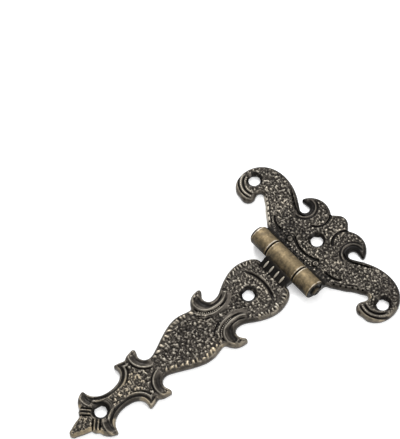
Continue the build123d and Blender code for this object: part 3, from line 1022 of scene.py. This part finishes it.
class HINGE_OT_frame_leaf(Operator):
    """Carve the frame leaf, with its crest, horns and hooked ends"""

    bl_idname = "hinge.frame_leaf"
    bl_label = "Frame leaf"

    def execute(self, context):
        settings = context.scene.hinge_casting
        plan = Plan(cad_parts["frame_leaf"], lattice_pitch(settings), FRAME_HOLES, flat_border)
        grains = frame_grains(settings)
        relief = Relief(plan, grains, settings.groove_depth / MM)
        x, y = plan.points.T
        frame_ornament(relief)
        for px, py, inward in plan.beside((21, 32, -10, -2.8), 2.3, grains.random):
            relief.ring((px + 1.05 * math.cos(inward), py + 1.05 * math.sin(inward)), 0, 0.62, -0.9)
        web = (np.abs(x) > WEB_X) & (y < WEB_FOOT_Y)
        relief.grain[web & (y < -11.5)] = 0
        flat, height = carved_height(plan, relief, settings)
        height = np.where(web, web_height(y, height), height)
        height[y < PIN_Y + 0.01] = 1.0
        piece = carved_leaf("frame_casting", plan, height, finish_fields(plan, relief, flat, ~web))
        piece.data.materials.append(cast_bronze("Antique bronze, frame leaf", context.scene.hinge_colours))
        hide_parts("frame_leaf")
        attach(piece, "frame")
        return {"FINISHED"}


class HINGE_OT_strap_leaf(Operator):
    """Carve the strap leaf, with its horns, scrolls and bud"""

    bl_idname = "hinge.strap_leaf"
    bl_label = "Strap leaf"

    def execute(self, context):
        settings = context.scene.hinge_casting
        plan = Plan(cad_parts["strap_leaf"], lattice_pitch(settings), STRAP_HOLES, strap_border)
        relief = Relief(plan, strap_grains(settings, plan), settings.groove_depth / MM)
        x, y = plan.points.T
        strap_ornament(relief)
        relief.grain[y > -26.2] = 0
        flat, height = carved_height(plan, relief, settings)
        neck = (np.abs(x) < NECK_HALF) & (y > NECK_FOOT_Y)
        fields = finish_fields(plan, relief, flat, ~neck)
        # The neck is set dark, lighter towards the barrel.
        fields["rubbed"][0][neck] = (smoothstep(-23.4, -21.6, y) * 0.6 - 0.8)[neck]
        piece = carved_leaf("strap_casting", plan, np.where(neck, neck_height(y), height), fields)
        piece.data.materials.append(cast_bronze("Antique bronze, strap leaf", context.scene.hinge_colours))
        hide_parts("strap_leaf")
        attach(piece, "strap")
        return {"FINISHED"}


class HINGE_OT_barrel(Operator):
    """Turn the three knuckles of the barrel round the pin"""

    bl_idname = "hinge.barrel"
    bl_label = "Barrel"

    def execute(self, context):
        settings = context.scene.hinge_barrel
        colours = context.scene.hinge_colours
        # The barrel's colour holds painted top light, painted highlights on the turned edges and painted
        # shade in the gaps.
        coat = turned_bronze("Turned bronze with painted light, barrel", colours.barrel, colours)
        tree = shell_tree()
        for name, node, body, start, end, bore in (
                ("left_knuckle", "frame_leaf", "frame", -BARREL_HALF, -OUTER_START, PIN_R),
                ("middle_knuckle", "strap_leaf", "strap", -MIDDLE_HALF, MIDDLE_HALF, PIN_R + RUNNING_GAP),
                ("right_knuckle", "frame_leaf", "frame", OUTER_START, BARREL_HALF, PIN_R)):
            profile = knuckle_profile(start, end, bore, settings.chamfer / MM)
            piece = plain_piece(name, profile, tree, {
                "Radius": bore * MM, "Segments": settings.segments, "Centre": (0, PIN_Y * MM, PIN_Z * MM),
                "Material": coat})
            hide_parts(node)
            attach(piece, body)
        return {"FINISHED"}


class HINGE_OT_beads(Operator):
    """Set the small beads along the lines of both leaves"""

    bl_idname = "hinge.beads"
    bl_label = "Bead rows"

    def execute(self, context):
        radius = context.scene.hinge_barrel.bead
        coat = cast_bronze("Antique bronze, beads", context.scene.hinge_colours)
        tree = bead_tree()
        hooks = [[(side * x, y, 2.45) for x, y in arc_points(HOOK, r, 246, 338, 30)]
                 for side in (-1, 1) for r in (5.6, 7.7)]
        foot = [[(x, -10.4, 2.3) for x in np.linspace(-7.4, 7.4, 9)]]
        horns = [[(side * x, y, 2.0) for x, y in smooth_line(BEAD_GROOVE)] for side in (-1, 1)]
        for name, body, lines, pitch, share, flatness, unevenness, seed in (
                ("hook_beads", "frame", hooks, 0.95, 1.0, 0.8, 0.12, 3),
                ("foot_beads", "frame", foot, 1.35, 1.1, 0.7, 0.45, 4),
                ("horn_beads", "strap", horns, 0.85, 0.85, 0.8, 0.12, 5)):
            piece = plain_piece(name, line_mesh("lines", lines), tree, {
                "Pitch": pitch * MM, "Bead radius": share * radius, "Stretch": (1, 1, flatness),
                "Unevenness": unevenness, "Seed": seed, "Material": coat})
            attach(piece, body)
        return {"FINISHED"}


class HINGE_OT_neck_ribs(Operator):
    """Lay the four raised ribs on the neck of the strap"""

    bl_idname = "hinge.neck_ribs"
    bl_label = "Neck ribs"

    def execute(self, context):
        settings = context.scene.hinge_barrel
        coat = cast_bronze("Antique bronze, ribs", context.scene.hinge_colours, 0.85)
        base = line_mesh("lines", [[(x, -24.7, 3.95) for x in RIB_X]])
        piece = plain_piece("neck_ribs", base, bead_tree(), {
            "Pitch": 3.3 * MM, "Bead radius": settings.rib_width / 2,
            "Stretch": (1, settings.rib_length / settings.rib_width, 1.1), "Lean": (math.radians(33), 0, 0),
            "Unevenness": 0.05, "Detail": 4, "Seed": 1, "Material": coat})
        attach(piece, "strap")
        return {"FINISHED"}


class HINGE_OT_pin(Operator):
    """Finish the hinge pin in turned bronze"""

    bl_idname = "hinge.pin"
    bl_label = "Pin finish"

    def execute(self, context):
        colours = context.scene.hinge_colours
        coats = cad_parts["hinge_pin"].data.materials
        coats.clear()
        # The pin's colour holds the same painted top light and painted edge light as the barrel.
        coats.append(turned_bronze("Turned bronze with painted light, pin", dimmed(colours.barrel, 0.65), colours))
        return {"FINISHED"}


class HINGE_OT_stage(Operator):
    """Set the pale floor, the soft lights and the camera"""

    bl_idname = "hinge.stage"
    bl_label = "Stage"

    def execute(self, context):
        floor = pale_floor()
        light_world(context.scene)
        set_lamps()
        set_camera(context.scene)
        context.scene.view_settings.view_transform = "Standard"
        return {"FINISHED"}


class HINGE_PT_panel(Panel):
    """Lists the steps that dress the hinge"""

    bl_idname = "HINGE_PT_panel"
    bl_label = "Tee hinge"
    bl_space_type = "VIEW_3D"
    bl_region_type = "UI"
    bl_category = "Hinge"

    def draw(self, context):
        layout, scene = self.layout, context.scene
        for step in STEPS:
            layout.operator(step.bl_idname)
        for settings in (scene.hinge_casting, scene.hinge_barrel, scene.hinge_colours):
            box = layout.box()
            for name in settings.__annotations__:
                box.prop(settings, name)


STEPS = (HINGE_OT_stage, HINGE_OT_frame_leaf, HINGE_OT_strap_leaf, HINGE_OT_barrel, HINGE_OT_beads,
         HINGE_OT_neck_ribs, HINGE_OT_pin)
CLASSES = (HingeCasting, HingeBarrel, HingeColours, *STEPS, HINGE_PT_panel)


def register():
    for kind in CLASSES:
        bpy.utils.register_class(kind)
    bpy.types.Scene.hinge_casting = PointerProperty(type=HingeCasting)
    bpy.types.Scene.hinge_barrel = PointerProperty(type=HingeBarrel)
    bpy.types.Scene.hinge_colours = PointerProperty(type=HingeColours)


def unregister():
    for name in ("hinge_casting", "hinge_barrel", "hinge_colours"):
        delattr(bpy.types.Scene, name)
    for kind in reversed(CLASSES):
        bpy.utils.unregister_class(kind)


def main():
    register()
    bpy.ops.hinge.stage()
    bpy.ops.hinge.frame_leaf()
    bpy.ops.hinge.strap_leaf()
    bpy.ops.hinge.barrel()
    bpy.ops.hinge.beads()
    bpy.ops.hinge.neck_ribs()
    bpy.ops.hinge.pin()


if __name__ == "__main__":
    main()
